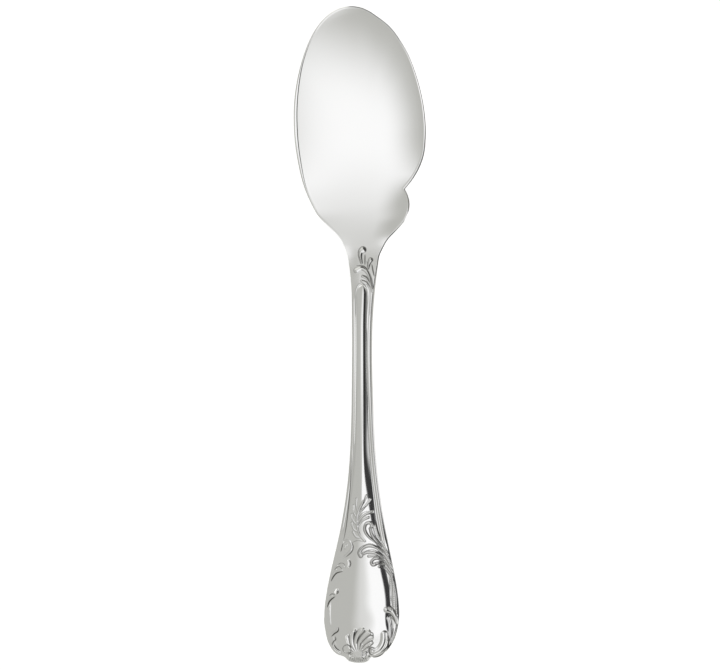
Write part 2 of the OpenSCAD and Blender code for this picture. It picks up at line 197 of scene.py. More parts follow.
# Painted shade, from 0 to 1, with the width it covers: over the whole border, and along the feet of its lines. It is
# heavier on the right, where the border mirrors the tent's dark door.
border_width, left_border_painted_shade, right_border_painted_shade = 1.6, 0.05, 0.08
foot_width, left_foot_painted_shade, right_foot_painted_shade = 0.12, 0.2, 0.4


def thread_border(x, s, from_edge):
    """Height of the thread lines, and the painted shade along their feet, which is heavier on the right, where they
    mirror the dark door.
    """
    on_left = x < handle_axis(s)
    stop = np.where(on_left, thread_left_stop, thread_right_stop)
    run = ease(s, thread_start, thread_start + thread_fade) * ease(stop - s, 0, thread_fade)
    height = np.zeros_like(s)
    # Painted shade over the border and along its lines' feet: the dark door mirrored on the right side, lighter on the
    # left
    foot = np.where(on_left, left_border_painted_shade, right_border_painted_shade * ease(from_edge, 0.35, 0.55))
    foot *= 1 - ease(from_edge, border_width, border_width + 0.3)
    for place, half, rise in threads:
        off = np.abs(from_edge - place - np.where(on_left, 0, right_thread_inset))
        line = rise * (1 - np.clip(off / half, 0, 1) ** thread_roundness)
        height = np.maximum(height, np.where(on_left, left_thread_gain, 1) * line)
        tarnish_and_painted_shade = np.where(on_left, left_foot_painted_shade, right_foot_painted_shade)
        foot = np.maximum(foot, tarnish_and_painted_shade * np.exp(-((off - half) / foot_width) ** 2))
    return height * run, foot * run


# Leaf relief: the neck's sprig, the acanthus on the axis, and the leaves and strands that spring from both edges.
# Points are (across the axis, from the end), from root to head. A stroke is a tapered ridge: width, shares of it at
# both ends, and how much tarnish and painted shade lie along its foot. A cut is a line chased into the face, darkened
# with tarnish and painted shade.
strokes, cuts = [], []
chase_slope, chase_roundness, chase_taper = 0.3, 1.5, 0.6


def strike(points, width, root=0.45, head=1.0, slope=0.45, roundness=1.25, stain_and_painted_shade=0.7):
    line = smooth_line(points)
    half = width / 2 * mix(root, head, np.linspace(0, 1, len(line)))
    strokes.append((line, half, slope, roundness, stain_and_painted_shade))


def chase(points, width, stain_and_painted_shade=0.85):
    line = smooth_line(points)
    half = width / 2 * (1 - chase_taper * np.abs(np.linspace(-1, 1, len(line))) ** 3)
    cuts.append((line, half, chase_slope, chase_roundness, stain_and_painted_shade))


# Neck sprig: two bud-shaped leaves over a broad curled one
strike([(-0.1, 114.4), (-0.5, 116.4), (-0.3, 117.7), (0.3, 118.2)], 1.9, 0.3, slope=0.55)
strike([(1.7, 112.7), (2.0, 114.2), (2.5, 115.3)], 1.3, 0.35, slope=0.55)
strike([(2.9, 106.3), (2.5, 109.6), (1.3, 112), (-0.2, 112.9), (-1.6, 112.3)], 1.5, 0.4, slope=0.55, stain_and_painted_shade=0.4)
strike([(2.4, 107.8), (1.4, 109.8), (0.2, 110.6)], 0.8, 0.4, slope=0.55, stain_and_painted_shade=0.4)
strike([(2.3, 106.6), (1.3, 108.6), (-0.1, 109.3)], 0.7, 0.4, slope=0.55, stain_and_painted_shade=0.4)
strike([(-1.8, 100), (-1.85, 104), (-1.7, 106.6), (-0.9, 108.2), (0.4, 108.7)], 0.5, 0.3, stain_and_painted_shade=0.2)
strike([(2.2, 100), (2.3, 104), (2.3, 106.6), (1.6, 108.2), (0.4, 108.7)], 0.5, 0.3, stain_and_painted_shade=0.4)
chase([(-1.5, 113.7), (0.7, 113.4), (2.0, 111.3), (2.6, 109), (2.8, 107.2)], 0.45, 0.9)
chase([(0.85, 117), (0.85, 113.8)], 0.4)
chase([(2.8, 114.1), (3.1, 112.4), (3.5, 110.6)], 0.5)
chase([(-1.2, 117), (0, 114.6)], 0.3, 0.6)
chase([(1.35, 115), (1.8, 113.2)], 0.3, 0.6)
chase([(0.1, 110.9), (1.35, 110.5), (2.3, 108.8)], 0.35)
chase([(0.1, 109.6), (1.35, 109), (2.5, 107.4)], 0.35)

# Acanthus: a curved rib with lobes to both sides
strike([(0.9, 35.6), (-0.7, 37.6), (-1.4, 40.6), (-1.1, 43.8), (0.5, 47.1)], 0.75, 0.7, slope=0.6, stain_and_painted_shade=0.3)
strike([(-0.9, 43.4), (0.6, 45.2), (2.3, 47.5)], 1.1, 0.3, 0.6, slope=0.6, stain_and_painted_shade=0.5)
strike([(-0.6, 44.8), (0.5, 46.8), (1.2, 48.6)], 1.0, 0.3, 0.6, slope=0.6, stain_and_painted_shade=0.5)
strike([(-1.2, 41.4), (0.8, 43.2), (3.1, 44)], 1.1, 0.3, 0.7, slope=0.6, stain_and_painted_shade=0.5)
strike([(-1.4, 39.4), (0.2, 41.5), (1.8, 42.4)], 1.0, 0.3, 0.7, slope=0.6, stain_and_painted_shade=0.5)
strike([(-1.0, 43.6), (-1.6, 45.6), (-1.5, 47.8)], 0.9, 0.3, 0.6, slope=0.55, stain_and_painted_shade=0.35)
strike([(-1.4, 42.2), (-2.3, 43.8), (-2.3, 45.8)], 0.9, 0.3, 0.7, slope=0.55, stain_and_painted_shade=0.35)
strike([(-1.4, 40.2), (-2.5, 41.5), (-2.9, 43.2)], 0.9, 0.3, 0.7, slope=0.55, stain_and_painted_shade=0.35)
strike([(-1.0, 38.2), (-2.3, 39), (-2.9, 40.8)], 0.9, 0.3, 0.7, slope=0.55, stain_and_painted_shade=0.35)
strike([(-0.2, 36.6), (-1.6, 36.8), (-2.5, 38.2)], 0.9, 0.3, 0.7, slope=0.55, stain_and_painted_shade=0.35)
chase([(-0.3, 44.8), (0.5, 46.9), (1.0, 48.5)], 0.35, 0.8)
chase([(-0.3, 44.6), (0.8, 45.4), (1.7, 45.8)], 0.3, 0.7)
chase([(-1.1, 42.2), (0.3, 43.8), (2.0, 44.2)], 0.25, 0.6)
chase([(-1.2, 40.4), (0.1, 42.2), (1.4, 42.9)], 0.25, 0.6)
chase([(-2.8, 35.2), (-1.2, 35.8), (0.6, 35.4)], 0.25, 0.5)

# Right leaves: three curled sheaves that spring from the right edge and roll in over the cartouche
strike([
    (8.2, 29), (6.4, 32.8), (4.2, 35.1), (2.0, 36.8), (0.8, 38.8), (1.2, 40.6), (2.4, 40.8), (2.9, 39.8),
], 0.95, 0.5)
strike([(6.6, 32.2), (4.6, 35), (3.0, 37.2), (2.3, 39.2)], 0.75, 0.5)
strike([(7.6, 31.4), (5.8, 34.8), (4.3, 37.2), (3.6, 39.8)], 0.95, 0.4)
strike([(8.6, 27.6), (6.8, 31), (4.6, 33.4), (2.2, 34.3), (0.2, 33.7), (-0.7, 32.4), (-0.3, 31.4)], 1.15, 0.5)
strike([(8.0, 27.8), (6.2, 30.4), (4, 32.1), (1.6, 32.4), (0.4, 32)], 0.85, 0.5)
strike([(6.4, 29.4), (4.4, 31.2), (1.9, 31.3)], 0.7, 0.4)
strike([(8.9, 26.4), (7.1, 29), (5.2, 30.4), (3.5, 30.5), (2.7, 29.6), (3.1, 28.8), (3.8, 29)], 0.95, 0.5)
strike([(8.8, 25.6), (7.2, 27.8), (5.6, 29.1), (4.3, 29.2)], 0.8, 0.5)
strike([(8.6, 25), (7.4, 26.6), (6.2, 28.1), (4.9, 28.2)], 0.7, 0.5)
chase([(1.0, 40.6), (1.1, 38.9), (2.4, 36.7), (5.7, 33.8)], 0.45, 0.9)
chase([(2.4, 40.4), (2.2, 38.2), (3.7, 35.3), (6.6, 32.3)], 0.35)
chase([(3.9, 41.6), (4.4, 38.9), (5.3, 36.4)], 0.55, 0.95)
chase([(-0.9, 32.3), (0, 33.7), (1.7, 34.8), (4, 34.2), (7, 31.2)], 0.35, 0.75)
chase([(0.2, 31.6), (1.4, 32.9), (4, 32.8), (7.2, 29.6)], 0.3, 0.75)
chase([(2.5, 29.2), (3.4, 31), (5.3, 30.9), (7.8, 28.2)], 0.3, 0.75)

# Left leaves: a loop that ends the thread, then small sprays with bead tips down the edge
strike([
    (-5.1, 35.2), (-4.3, 35.8), (-3.4, 35.4), (-2.9, 34.2), (-3.3, 32.8), (-4.8, 31.2),
], 0.6, 0.8, slope=0.6, stain_and_painted_shade=0.15)
strike([(-4.9, 33.2), (-4.3, 34.4)], 0.6, slope=0.6, stain_and_painted_shade=0.15)
chase([(-2.9, 60), (-3.15, 54.5), (-3.45, 49.5), (-3.85, 45), (-4.5, 39.4), (-5.2, 35.8)], 0.35, 0.8)
chase([(-5.4, 34.8), (-6.0, 32.4)], 0.35, 0.8)
chase([(-3.0, 35.4), (-2.5, 34.1), (-2.9, 32.6), (-4.5, 31)], 0.4, 0.85)
strike([(-3.8, 30.1), (-3.65, 29.2), (-3.8, 28.3)], 0.9, 0.7, 0.7, slope=1.0, roundness=1.6, stain_and_painted_shade=0.1)
chase([(-3.4, 30.1), (-3.2, 29.1), (-3.5, 28.1)], 0.4, 0.9)
strike([(-7.6, 27.8), (-6.4, 28.6), (-5.1, 28.2)], 0.7, 0.5, slope=0.6, stain_and_painted_shade=0.1)
strike([(-8.3, 25.8), (-7.2, 27.1), (-5.8, 27.2)], 0.7, 0.5, slope=0.6, stain_and_painted_shade=0.1)
chase([(-7.1, 28.5), (-6.0, 29.2), (-5.0, 28.9), (-4.7, 27.8)], 0.25, 0.6)
chase([(-7.9, 27.1), (-7.1, 27.9), (-6.3, 28.1), (-5.5, 27.3)], 0.28, 0.7)
chase([(-8.8, 23.8), (-8.1, 25.2), (-7.1, 26.3), (-5.5, 26.8)], 0.45, 0.95)
strike([(-7.4, 20.7), (-7.1, 21.4)], 0.9, 1, slope=1.0, roundness=1.6, stain_and_painted_shade=0.1)
chase([(-7.4, 20.2), (-6.8, 20.6), (-6.7, 21.2)], 0.35, 0.85)
strike([(-9.6, 17.4), (-8.8, 19.1), (-7.6, 20)], 0.7, 0.5, slope=0.6, stain_and_painted_shade=0.1)
chase([(-9.3, 19.6), (-8.5, 20.2), (-7.6, 19.9)], 0.3, 0.7)
chase([(-9.9, 16.2), (-9.4, 17.7), (-8.7, 18.6), (-7.7, 19.4)], 0.52, 0.95)
strike([(-9.05, 17.3), (-9.1, 14), (-8.95, 11.2)], 0.6, 0.9, 0.6, slope=0.8, stain_and_painted_shade=0.05)
strike([(-7.0, 10.3), (-7.3, 9.5), (-8.3, 8.8)], 0.6, 0.6, slope=0.6, stain_and_painted_shade=0.1)
chase([(-6.7, 10.5), (-6.85, 9.4), (-7.85, 8.6), (-8.7, 7.7)], 0.48, 0.95)
chase([(-7.6, 7.7), (-7.5, 6.9), (-8.2, 6.1), (-8.5, 5.2)], 0.4, 0.85)

# Right strands: three lines down the edge, tied half way by a small knob
strike([(8.6, 25.6), (9.0, 21), (9.1, 16.6)], 0.6, 0.8, slope=0.32)
strike([(8.2, 25.4), (8.1, 21), (8.4, 16.8)], 0.5, 0.8, slope=0.32)
strike([(9.0, 24), (9.7, 19.6), (9.9, 14.4)], 0.55, 0.6, slope=0.32)
strike([(10, 11.6), (9.5, 13.4), (8.5, 15), (7.1, 15.7)], 1.8, 0.45, slope=0.5, roundness=1.6, stain_and_painted_shade=0.5)
strike([(10.0, 11.2), (9.2, 12.8), (8.2, 13.8)], 0.8, 0.5, slope=0.32)
strike([(7.7, 6.8), (8.2, 9.4), (8.1, 11.6), (7.7, 13.2)], 1.2, 0.8, slope=0.42)
strike([(9.9, 10.6), (9.4, 8.4), (8.4, 6)], 0.6, 0.6, slope=0.32)
chase([(7.8, 16.8), (9.2, 15.5), (9.9, 13.6)], 0.5, 0.95)
chase([(7.8, 14.5), (8.9, 13.3), (9.6, 11.6)], 0.38, 0.9)
chase([(9.0, 10.2), (8.8, 8.8), (8.4, 7.2)], 0.5, 0.9)
chase([(9.7, 11.4), (9.7, 10), (9.0, 8)], 0.35, 0.8)

# Volutes: rolled bands that hold the shell on both sides
strike([(6.3, 8.5), (6.25, 7), (5.8, 5.4), (4.8, 4), (3.5, 3.3)], 1.9, 1, slope=0.42, roundness=1.9, stain_and_painted_shade=0.35)
strike([(2.9, 3.4), (3.1, 3.9)], 1.6, 1, slope=0.42, roundness=1.9)
chase([(5.9, 9.4), (6.6, 9.5), (7.3, 9)], 0.45, 0.95)
chase([(7.5, 8.1), (7.65, 6.4), (7.2, 4.8)], 0.6, 0.95)
chase([(6.9, 3.8), (5.8, 2.5), (4.4, 1.8), (3.0, 1.7)], 0.4, 0.9)
chase([(3.6, 4.3), (2.8, 4.75), (2.1, 4.3), (2.0, 3.3), (2.6, 2.6), (3.5, 2.6)], 0.42, 0.95)
chase([(2.7, 4), (3.3, 3.9), (3.5, 3.4)], 0.3, 0.8)
strike([(-8.5, 5.6), (-7.6, 3.9), (-6.2, 3)], 0.8, 0.6, slope=0.42, roundness=1.9, stain_and_painted_shade=0.2)
strike([(-4.35, 4.1), (-4.25, 4.3)], 2.3, 1, slope=0.2, roundness=1.9, stain_and_painted_shade=0.6)
chase([(-8.1, 5.4), (-7.3, 4.2), (-6.3, 3.5)], 0.45, 0.95)
chase([(-4.3, 5.5), (-3.5, 5.2), (-3.1, 4.4)], 0.42, 0.95)
chase([(-3.1, 3.6), (-3.4, 3), (-4, 2.6)], 0.38, 0.9)
chase([(-5.2, 5.1), (-5.5, 4.2), (-5.1, 3.2)], 0.28, 0.6)


# Scallop shell: the boss at the handle's end, struck with the rest. Its flutes spread from a root near the end, long
# and curled towards the bowl, and short round the lip. Turns are in degrees to the right of straight up.
shell_root, shell_lift = (-1.2, 2.4), 0.3
shell_lean, flute_turn, flute_slope, flute_roundness = 6.5, 17.0, 0.42, 1.4
lip_turn, lip_flute_turn, lip_flute_slope = 93.5, 20.0, 0.2
shell_curl, curl_start = 4.5, 3.5
# Tarnish and painted shade in the grooves between the flutes, standing in for the dark reflections there
groove_shade_and_tarnish = 0.85
# Reach of the flutes: turn, and length from the root
shell_reach = np.array([
    (-180, 2.4), (-110, 2.5), (-60, 2.8), (-42, 4.2), (-32, 6.6), (-15, 7.6), (5, 8.3), (22, 8.4), (34, 7.8), (44, 6.6),
    (51, 5.5), (58, 3.4), (75, 3), (110, 2.5), (180, 2.4),
])
chase([(2.1, 10.2), (2.4, 9.3), (3.1, 8.9), (3.2, 7.7), (2.6, 7.1)], 0.35)
chase([(2.6, 7.1), (3.2, 6.1), (2.9, 5.6), (1.3, 4.6)], 0.35)
# Short ribs across the lip, which point at the root
lip_rib_spacing = 0.6
for lip_x in np.arange(-3.5, 1.6, lip_rib_spacing):
    rib_foot = (lip_x - 0.12 * (lip_x - shell_root[0]), 1.75)
    rib_tip = (lip_x, 0.35 + 0.05 * (lip_x + 1) ** 2)
    chase([rib_foot, rib_tip], 0.28, 0.7)


def shell_fan(across, from_end, from_edge):
    """Height of the shell, and the tarnish and painted shade in a groove between two flutes, by how deep a point lies
    in it, from 0 to 1.
    """
    dx, dv = across - shell_root[0], from_end - shell_root[1]
    out = np.hypot(dx, dv)
    turn = np.degrees(np.arctan2(dx, dv))
    at_lip = np.abs(turn) > lip_turn
    pitch = np.where(at_lip, lip_flute_turn, flute_turn)
    curled = turn - shell_lean - shell_curl * np.maximum(0, out - curl_start)
    off_flute = np.abs((curled / pitch + 0.5) % 1 - 0.5) * 2
    reach = np.interp(turn, shell_reach[:, 0], shell_reach[:, 1]) * (1 - 0.1 * off_flute ** 2)
    slope = np.where(at_lip, lip_flute_slope, flute_slope)
    flute = slope * out * np.radians(pitch / 2) * (1 - off_flute ** flute_roundness)
    inside = np.clip((reach - out) / np.where(np.abs(turn) > 70, 1.0, 0.55), 0, 1)
    groove = groove_shade_and_tarnish * np.clip((off_flute - 0.6) / 0.35, 0, 1)
    groove *= np.clip(inside * 3, 0, 1) * np.clip((out - 1.3) / 0.6, 0, 1)
    return (shell_lift * ease(from_edge, 0, 2) + flute * ease(from_edge, 0, 1.2)) * inside ** 0.8, groove


def stroke_field(px, pv, line, half, roundness):
    """Height share of one stroke over a flat spot, times its half width there, and distance from its foot."""
    best, gap = np.zeros_like(px), np.full_like(px, 9.0)
    for i in range(len(line) - 1):
        (ax, av), (bx, bv) = line[i], line[i + 1]
        ex, ev = bx - ax, bv - av
        t = np.clip(((px - ax) * ex + (pv - av) * ev) / (ex * ex + ev * ev), 0, 1)
        off = np.hypot(px - ax - t * ex, pv - av - t * ev)
        w = mix(half[i], half[i + 1], t)
        best = np.maximum(best, w * (1 - np.clip(off / w, 0, 1) ** roundness))
        gap = np.minimum(gap, np.abs(off - w))
    return best, gap


def near_stroke(across, from_end, line, half):
    margin = half.max() + 0.4
    low, high = line.min(0) - margin, line.max(0) + margin
    return (across > low[0]) & (across < high[0]) & (from_end > low[1]) & (from_end < high[1])


# How far the tarnish and painted shade spread from the foot of a stroke, how high they climb, and how far the filed
# edge thins the relief
shade_and_tarnish_spread, shade_and_tarnish_climb = 0.1, 0.18
filed_width = 0.5


def relief(x, s, from_edge):
    """Height of the struck ornament, and the tarnish and painted shade on it, from 0 to 1."""
    across, from_end = x - axis_x, spoon_length - s
    height, depth, stain_and_painted_shade = np.zeros_like(x), np.zeros_like(x), np.zeros_like(x)
    for line, half, slope, roundness, strength in strokes:
        near = near_stroke(across, from_end, line, half)
        best, gap = stroke_field(across[near], from_end[near], line, half, roundness)
        height[near] = np.maximum(height[near], slope * best)
        # Dark along the foot of each stroke: tarnish, and painted shade for the dark reflections in the crease, set
        # stronger on the right-hand leaves than the left
        stain_and_painted_shade[near] = np.maximum(stain_and_painted_shade[near], strength * np.exp(-(gap / shade_and_tarnish_spread) ** 2))
    stain_and_painted_shade *= np.exp(-height / shade_and_tarnish_climb)
    fan, groove = shell_fan(across, from_end, from_edge)
    height, stain_and_painted_shade = np.maximum(height * ease(from_edge, 0, filed_width), fan), np.maximum(stain_and_painted_shade, groove)
    for line, half, slope, roundness, strength in cuts:
        near = near_stroke(across, from_end, line, half)
        best, _ = stroke_field(across[near], from_end[near], line, half, roundness)
        depth[near] = np.maximum(depth[near], slope * best)
        stain_and_painted_shade[near] = np.maximum(stain_and_painted_shade[near], strength * np.clip(1.6 * best / half.max(), 0, 1))
    return height - depth, stain_and_painted_shade


# Rim and edges: distance from the edge at which points lie, along a ray that runs square to the middle line.
# They are close over the filed rounding and the threads, and even from there to the middle.
edge_round, rim_spacing, rim_reach = 0.08, 0.08, 2.2
rim_points = np.concatenate([
    edge_round * (1 - np.cos(np.linspace(0, math.pi / 2, 6))),
    np.arange(edge_round + rim_spacing, rim_reach, rim_spacing),
])
rim_share, least_square = 0.6, 0.4


def ray_frame(centre, edge):
    """Each ray's run from edge to centre, its length, and how square it stands to the outline, from 0 to 1."""
    run = centre - edge
    length = np.hypot(run[:, 0], run[:, 1])
    tangent = np.gradient(edge, axis=0)
    tangent /= np.hypot(tangent[:, 0], tangent[:, 1])[:, None]
    square = np.abs(run[:, 0] * tangent[:, 1] - run[:, 1] * tangent[:, 0]) / length
    return run, length, np.maximum(square, least_square)


def ray_points(centre, edge, near, count):
    """Points along rays from edge to centre, and each point's distance from the outline and share of the ray left."""
    run, length, square = ray_frame(centre, edge)
    fit = np.minimum(1, rim_share * length * square / near[-1])
    rim = near[None] * (fit / square)[:, None]
    inner = np.linspace(0, 1, count + 1)[1:]
    rest = mix(rim[:, -1:], length[:, None], inner[None])
    out = np.concatenate([rim, rest], axis=1)
    points = edge[:, None] + run[:, None] * (out / length[:, None])[..., None]
    return points, out * square[:, None], np.maximum(0, 1 - out / length[:, None])


def rounding(from_edge):
    """How far the filed corner falls away at the edge."""
    t = np.clip(from_edge / edge_round, 0, 1)
    return edge_round * (1 - np.sqrt(np.clip(1 - (1 - t) ** 2, 0, 1)))


def strike_piece(name, front, back, foot, rows):
    """Closed mesh from front and back grids of rays, each from edge to middle, with one spare ray at both ends."""
    # Rays from both sides end in shared points on the middle line, and those of the fan in one point
    for face in (front, back):
        pairs = (face[:rows, -1] + face[::-1][:rows, -1]) / 2
        face[:rows, -1], face[-rows:, -1] = pairs, pairs[::-1]
        face[rows:-rows, -1] = face[rows:-rows, -1].mean(0)
    grid = np.concatenate([front[:, ::-1], back], axis=1)
    stain_and_painted_shade = np.concatenate([foot[:, ::-1], np.zeros(back.shape[:2])], axis=1)
    rays, ring = grid.shape[:2]
    flat = grid.reshape(-1, 3)
    _, first, index = np.unique(np.round(flat, 5), axis=0, return_index=True, return_inverse=True)
    index = index.reshape(rays, ring)
    points = flat[first]
    a, b = index[:-1, :-1], index[:-1, 1:]
    c, d = index[1:, 1:], index[1:, :-1]
    quads = np.stack([a, b, c, d], axis=-1)

    # Normals count the spare rays, so that both pieces shade alike across the neck line
    p = points[quads]
    normal = np.cross(p[..., 2, :] - p[..., 0, :], p[..., 3, :] - p[..., 1, :])
    inside_out = (normal * p.mean(-2))[1:-1].sum() < 0
    if inside_out:
        quads, normal = quads[..., ::-1], -normal
    smooth = np.zeros_like(points)
    for k in range(4):
        np.add.at(smooth, quads[..., k].ravel(), normal.reshape(-1, 3))
    smooth /= np.maximum(1e-12, np.linalg.norm(smooth, axis=1))[:, None]

    # Faces leave the spare rays out, and a flat cap closes the piece at the neck line
    faces = []
    for face in quads[1:-1].reshape(-1, 4).tolist():
        corners = [v for i, v in enumerate(face) if v != face[i - 1]]
        if len(corners) > 2:
            faces.append(corners)
    left, right = index[1].tolist(), index[-2].tolist()
    cap = left + right[-2:0:-1]
    faces.append(cap if inside_out else cap[::-1])

    used = np.unique(np.concatenate([np.array(f) for f in faces]))
    place = np.full(len(points), -1)
    place[used] = np.arange(len(used))
    faces = [[int(place[v]) for v in f] for f in faces]
    mesh = bpy.data.meshes.new(name)
    mesh.from_pydata((points[used] / 1000).tolist(), [], faces)
    mesh.polygons.foreach_set("use_smooth", [True] * len(mesh.polygons))
    corner = np.zeros(len(mesh.loops), np.int32)
    mesh.loops.foreach_get("vertex_index", corner)
    corner_normal = smooth[used][corner]
    corner_normal[-len(cap):] = mesh.polygons[len(faces) - 1].normal
    mesh.normals_split_custom_set(corner_normal.tolist())
    # Per-point darkness for the material: tarnish, and painted shade along the feet, cuts and grooves of the relief
    tarnish_and_painted_shade = mesh.attributes.new("tarnish_and_painted_shade", "FLOAT", "POINT")
    tarnish_and_painted_shade.data.foreach_set("value", stain_and_painted_shade.ravel()[first][used].astype(np.float32))
    piece = bpy.data.objects.new(name, mesh)
    bpy.context.scene.collection.objects.link(piece)
    return piece


relief_step, plain_step, seam_step = 0.14, 0.8, 0.1
sprig_length, end_relief_length = 14.0, 53.0
end_rays, front_columns, back_columns = 261, 68, 40
handle_rows = np.concatenate([
    [neck_station - seam_step],
    np.arange(neck_station, neck_station + sprig_length, relief_step),
    np.arange(neck_station + sprig_length, spoon_length - end_relief_length, plain_step),
    np.arange(spoon_length - end_relief_length, end_widest - relief_step / 2, relief_step),
])
end_fan = np.radians(np.linspace(180, 360, end_rays))
end_pole = np.array([axis_x, end_widest])

outline_x, outline_down = end_outline[:, 0], end_reach - end_outline[:, 1]
outline_turn = np.unwrap(np.arctan2(-outline_down, outline_x)) % (2 * math.pi)
outline_turn[0], outline_turn[-1] = math.pi, 2 * math.pi
outline_reach = np.hypot(outline_x, outline_down)
fan_reach = np.interp(end_fan, outline_turn, outline_reach)
fan_edge = end_pole + np.stack([fan_reach * np.cos(end_fan), -fan_reach * np.sin(end_fan)], axis=1)

row_half, row_axis = handle_half(handle_rows), handle_axis(handle_rows)
left_stray, right_stray = (np.interp(handle_rows, edge_stray[:, 0], edge_stray[:, i]) for i in (1, 2))
left_edge = np.stack([row_axis + left_stray - row_half, handle_rows], axis=1)
right_edge = np.stack([row_axis + right_stray + row_half, handle_rows], axis=1)
row_centre = np.stack([row_axis, handle_rows], axis=1)
handle_edge_line = np.concatenate([left_edge, fan_edge, right_edge[::-1]])
handle_centre = np.concatenate([row_centre, np.repeat(end_pole[None], len(fan_edge), axis=0), row_centre[::-1]])


def on_table(points, z):
    return np.stack([points[..., 0], spoon_length / 2 - points[..., 1], z], axis=-1)


front, from_edge, _ = ray_points(handle_centre, handle_edge_line, rim_points, front_columns)
x, s = front[..., 0], front[..., 1]
height, foot = relief(x, s, from_edge)
thread_height, thread_foot = thread_border(x, s, from_edge)
front_z = (
    handle_edge_height(s)
    + shoulder_round(s, from_edge, x < handle_axis(s))
    + panel(x, s)
    + np.maximum(thread_height, height)
    - rounding(from_edge)
)
# Depth of the rounded back under the axis, by station; the end's back is a little hollow
belly_stations = [neck_station, waist_station, end_widest - 20, end_widest, spoon_length]
belly_depths = [1.3, 0.9, 0.1, -0.25, 0]
back, from_edge, share = ray_points(handle_centre, handle_edge_line, rim_points, back_columns)
xb, sb = back[..., 0], back[..., 1]
belly = np.interp(sb, belly_stations, belly_depths)
back_z = (
    handle_edge_height(sb) - handle_edge_thickness - belly * (1 - share ** 2)
    - np.maximum(thread_border(xb, sb, from_edge)[0], shell_fan(xb - axis_x, spoon_length - sb, from_edge)[0])
    + rounding(from_edge)
)
handle = strike_piece(
    "struck_handle", on_table(front, front_z), on_table(back, back_z), np.maximum(foot, thread_foot), len(handle_rows)
)


def srgb(code):
    """Linear colour from an sRGB hex value."""
    parts = [int(code[i:i + 2], 16) / 255 for i in (1, 3, 5)]
    return tuple(p / 12.92 if p <= 0.04045 else ((p + 0.055) / 1.055) ** 2.4 for p in parts) + (1.0,)


def add_node(tree, kind, settings):
    """One node; a setting is an attribute or an input's value, and an output given as value is linked to the input."""
    node = tree.nodes.new(kind)
    for key, value in settings.items():
        if isinstance(value, bpy.types.NodeSocket):
            tree.links.new(value, node.inputs[key])
        elif isinstance(key, str) and hasattr(node, key):
            setattr(node, key, value)
        else:
            node.inputs[key].default_value = value
    return node


# Polished silver plate: a bright, slightly warm mirror. Hand polishing leaves hairlines too fine to see singly, drawn
# coarser here so that they show as a faint softness. A dark colour is painted along the feet of the relief, in its
# cuts, between the shell's flutes and over the thread border: tarnish, and painted shade that stands in for the dark
# reflections in those creases, heavier on the right.
hairline_spacing, hairline_length, handling_patch = 1 / 3, 3.85, 16.7
silver_plate = bpy.data.materials.new("polished_silver_plate")
silver_plate.use_nodes = True
tree = silver_plate.node_tree
tree.nodes.clear()
where = add_node(tree, "ShaderNodeTexCoord", {}).outputs["Object"]
stretched = add_node(tree, "ShaderNodeMapping", {
    "Vector": where, "Scale": (1000 / hairline_spacing, 1000 / hairline_length, 1000 / hairline_spacing),
}).outputs["Vector"]
hairlines = add_node(tree, "ShaderNodeTexNoise", {"Vector": stretched, "Scale": 1.0, "Detail": 2.0}).outputs["Fac"]
handling = add_node(tree, "ShaderNodeTexNoise", {
    "Vector": where, "Scale": 1000 / handling_patch, "Detail": 3.0,
}).outputs["Fac"]
stain_and_painted_shade = add_node(tree, "ShaderNodeAttribute", {"attribute_name": "tarnish_and_painted_shade"}).outputs["Fac"]
# Dark colour mixed in along the relief's feet, cuts and grooves: tarnish, and painted shade for the dark reflections
# there
colour = add_node(tree, "ShaderNodeMix", {
    "data_type": "RGBA", 0: stain_and_painted_shade, 6: srgb("#f6f6f5"), 7: srgb("#45433d"),
}).outputs[2]
soft = add_node(tree, "ShaderNodeMapRange", {
    "Value": handling, "From Min": 0.3, "From Max": 0.7, "To Min": 0.05, "To Max": 0.1,
}).outputs["Result"]
rough = add_node(tree, "ShaderNodeMath", {"operation": "MULTIPLY_ADD", 0: stain_and_painted_shade, 1: 0.25, 2: soft}).outputs["Value"]
brushed = add_node(tree, "ShaderNodeBump", {
    "Height": hairlines, "Strength": 0.02, "Distance": 0.00005,
}).outputs["Normal"]
metal = add_node(tree, "ShaderNodeBsdfPrincipled", {
    "Base Color": colour, "Metallic": 1.0, "Roughness": rough, "Normal": brushed,
}).outputs["BSDF"]
add_node(tree, "ShaderNodeOutputMaterial", {"Surface": metal})

handle.data.materials.append(silver_plate)
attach(handle, "root")
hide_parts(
    "handle", "thread_border", "neck_leaves", "acanthus_spray", "right_leaf_scrolls", "left_leaf_scrolls",
    "right_strands", "right_volute", "left_volute", "shell", "back_thread_border", "back_shell",
)

# Bowl: the shallow, lopsided hollow, with a notch on its right side to drain it and a flat land round its rim.
# It is the same struck sheet as the handle, pressed into a die and trimmed; here it ends at the neck line.
bowl_half, bowl_widest, tip_station = 18.9, 35.6, 0.25
left_lower, right_lower = 30.8, 34.6
tip_lean, tip_lean_curve = 2.4, 1.35
shoulder = 0.82
bowl_depth, bowl_wall, neck_wall = 3.3, 1.5, 3.0
rim_height, rim_thickness = 5.5, 1.2
notch_station, notch_depth, notch_long, notch_short = 52.3, 3.6, 12.0, 7.4
rim_step, rim_bevel_slope, tip_bevel_slope = 0.08, 0.62, 0.72
rim_dip, dip_station = 0.8, 52.0
dish_roundness, lobe_lift = 2.45, 0.9
# Land round the rim: station, width of the land and of the filed bevel at its outer edge
left_land = smooth_line([
    (0, 0.4, 0.35), (14, 0.4, 0.3), (26, 0.8, 0.3), (44, 0.8, 0.25), (54, 0.4, 0.3), (64, 0.3, 0.2), (80, 0.3, 0.2),
])
right_land = smooth_line([
    (0, 0.4, 0.35), (8, 0.45, 0.25), (16, 0.5, 0.15), (30, 0.6, 0.2), (44, 0.65, 0.35), (52, 0.6, 0.25),
    (60, 0.6, 0.35), (68, 0.4, 0.3), (80, 0.4, 0.3),
])
